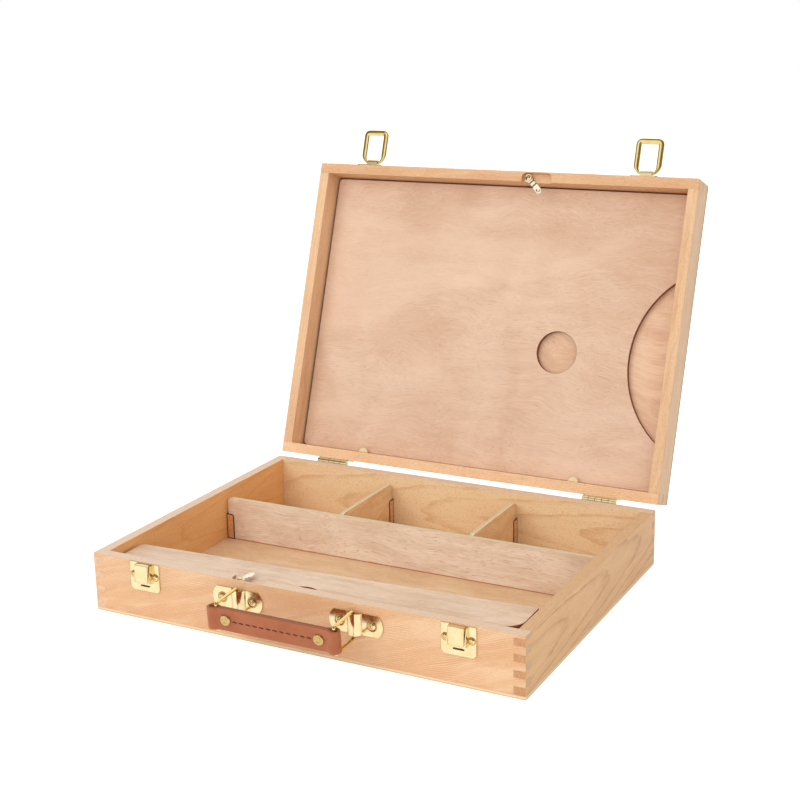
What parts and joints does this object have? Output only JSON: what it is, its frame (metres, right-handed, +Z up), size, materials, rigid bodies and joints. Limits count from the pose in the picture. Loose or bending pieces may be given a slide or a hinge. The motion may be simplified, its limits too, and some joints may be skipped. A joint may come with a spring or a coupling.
{
  "type": "watercolour sketch box",
  "caption": "Hinged wooden sketch box with finger-jointed corners, loose dividers, a cover board, a palette in the lid, ring catches and a leather carrying handle.",
  "frame": {"origin": "centre of the base box's underside, in the plane the box stands on", "axes": "+X to the right along the front, +Y from the handle towards the hinges, +Z up; millimetre model in metres here"},
  "size_m": [0.4, 0.4699, 0.3713],
  "materials": {
    "beech": "clear satin lacquer over light beech",
    "plywood": "smooth sanded plywood with pale veneer",
    "brass_plate": "bright pale brass plating",
    "spring_steel": "bright sheet metal",
    "saddle_leather": "smooth saddle brown with stitching"
  },
  "bodies": {
    "base": {"base_back_board": "beech", "base_bottom_panel": "plywood", "base_front_board": "beech", "base_left_board": "beech", "base_right_board": "beech", "base_turn_button_screw": "brass_plate", "catch_pins": "brass_plate", "catch_plate_left": "brass_plate", "catch_plate_right": "brass_plate", "catch_screws": "brass_plate", "cover_board": "plywood", "cover_ledge_left": "beech", "cover_ledge_right": "beech", "handle_bracket_left": "brass_plate", "handle_bracket_right": "brass_plate", "handle_screws": "brass_plate", "hinge_base_screws": "brass_plate", "hinge_left_base_leaf": "brass_plate", "hinge_pins": "brass_plate", "hinge_right_base_leaf": "brass_plate"},
    "long_divider": {"long_divider": "plywood", "long_divider_clip_left": "spring_steel", "long_divider_clip_right": "spring_steel"},
    "short_divider_left": {"short_divider_left": "plywood", "short_divider_left_back_clip": "spring_steel", "short_divider_left_front_clip": "spring_steel"},
    "short_divider_right": {"short_divider_right": "plywood", "short_divider_right_back_clip": "spring_steel", "short_divider_right_front_clip": "spring_steel"},
    "latch_ring_left": {"latch_ring_left": "brass_plate"},
    "catch_lever_left": {"catch_lever_left": "brass_plate"},
    "handle_ring_left": {"handle_ring_left": "brass_plate"},
    "latch_ring_right": {"latch_ring_right": "brass_plate"},
    "catch_lever_right": {"catch_lever_right": "brass_plate"},
    "handle_ring_right": {"handle_ring_right": "brass_plate"},
    "handle_strap": {"handle_strap": "saddle_leather", "strap_rivets": "brass_plate"},
    "base_turn_button": {"base_turn_button": "brass_plate"},
    "lid_turn_button": {"lid_turn_button": "brass_plate"},
    "lid": {"hinge_left_lid_leaf": "brass_plate", "hinge_lid_screws": "brass_plate", "hinge_right_lid_leaf": "brass_plate", "lid_back_board": "beech", "lid_front_board": "beech", "lid_left_board": "beech", "lid_right_board": "beech", "lid_top_panel": "plywood", "lid_turn_button_screw": "brass_plate", "palette": "plywood", "palette_discs": "brass_plate", "ring_plate_left": "brass_plate", "ring_plate_right": "brass_plate", "ring_plate_screws": "brass_plate"}
  },
  "joints": [
    {"name": "lid_hinge", "type": "hinge", "parent": "base", "child": "lid", "pos_m": [0, 0.1536, 0.052], "axis": [1, 0, 0], "range_deg": [0, 109.3]},
    {"name": "latch_ring_left_swing", "type": "hinge", "parent": "lid", "child": "latch_ring_left", "pos_m": [-0.1455, 0.26504, 0.33995], "axis": [1, 0, 0], "range_deg": [-90, 90]},
    {"name": "latch_ring_right_swing", "type": "hinge", "parent": "lid", "child": "latch_ring_right", "pos_m": [0.1455, 0.26504, 0.33995], "axis": [1, 0, 0], "range_deg": [-90, 90]},
    {"name": "catch_lever_left_tilt", "type": "hinge", "parent": "base", "child": "catch_lever_left", "pos_m": [-0.1455, -0.1536, 0.0371], "axis": [1, 0, 0], "range_deg": [0, 80]},
    {"name": "catch_lever_right_tilt", "type": "hinge", "parent": "base", "child": "catch_lever_right", "pos_m": [0.1455, -0.1536, 0.0371], "axis": [1, 0, 0], "range_deg": [0, 80]},
    {"name": "handle_ring_left_swing", "type": "hinge", "parent": "base", "child": "handle_ring_left", "pos_m": [-0.0518, -0.1523, 0.03505], "axis": [0, -0.061, 0.9981], "range_deg": [-70, 70]},
    {"name": "handle_ring_right_swing", "type": "hinge", "parent": "base", "child": "handle_ring_right", "pos_m": [0.0558, -0.1523, 0.03505], "axis": [0, -0.061, 0.9981], "range_deg": [-70, 70]},
    {"name": "handle_strap_swing", "type": "hinge", "parent": "handle_ring_left", "child": "handle_strap", "pos_m": [-0.0518, -0.18224, 0.03322], "axis": [0, -0.061, 0.9981], "range_deg": [-70, 70]},
    {"name": "base_turn_button_swivel", "type": "hinge", "parent": "base", "child": "base_turn_button", "pos_m": [-0.054, -0.144, 0.05], "axis": [0, 0, -1], "range_deg": [0, 90]},
    {"name": "lid_turn_button_swivel", "type": "hinge", "parent": "lid", "child": "lid_turn_button", "pos_m": [0.031, 0.25479, 0.33188], "axis": [0, -0.9438, 0.3305], "range_deg": [-45, 45]},
    {"name": "long_divider_lift", "type": "slide", "parent": "base", "child": "long_divider", "axis": [0, 0, -1], "range_m": [-0.06, 0]},
    {"name": "short_divider_left_lift", "type": "slide", "parent": "base", "child": "short_divider_left", "axis": [0, 0, -1], "range_m": [-0.06, 0]},
    {"name": "short_divider_right_lift", "type": "slide", "parent": "base", "child": "short_divider_right", "axis": [0, 0, -1], "range_m": [-0.06, 0]}
  ],
  "couplings": [
    {"joint": "handle_ring_right_swing", "follows": "handle_ring_left_swing", "ratio": 1},
    {"joint": "handle_strap_swing", "follows": "handle_ring_left_swing", "ratio": -1}
  ]
}
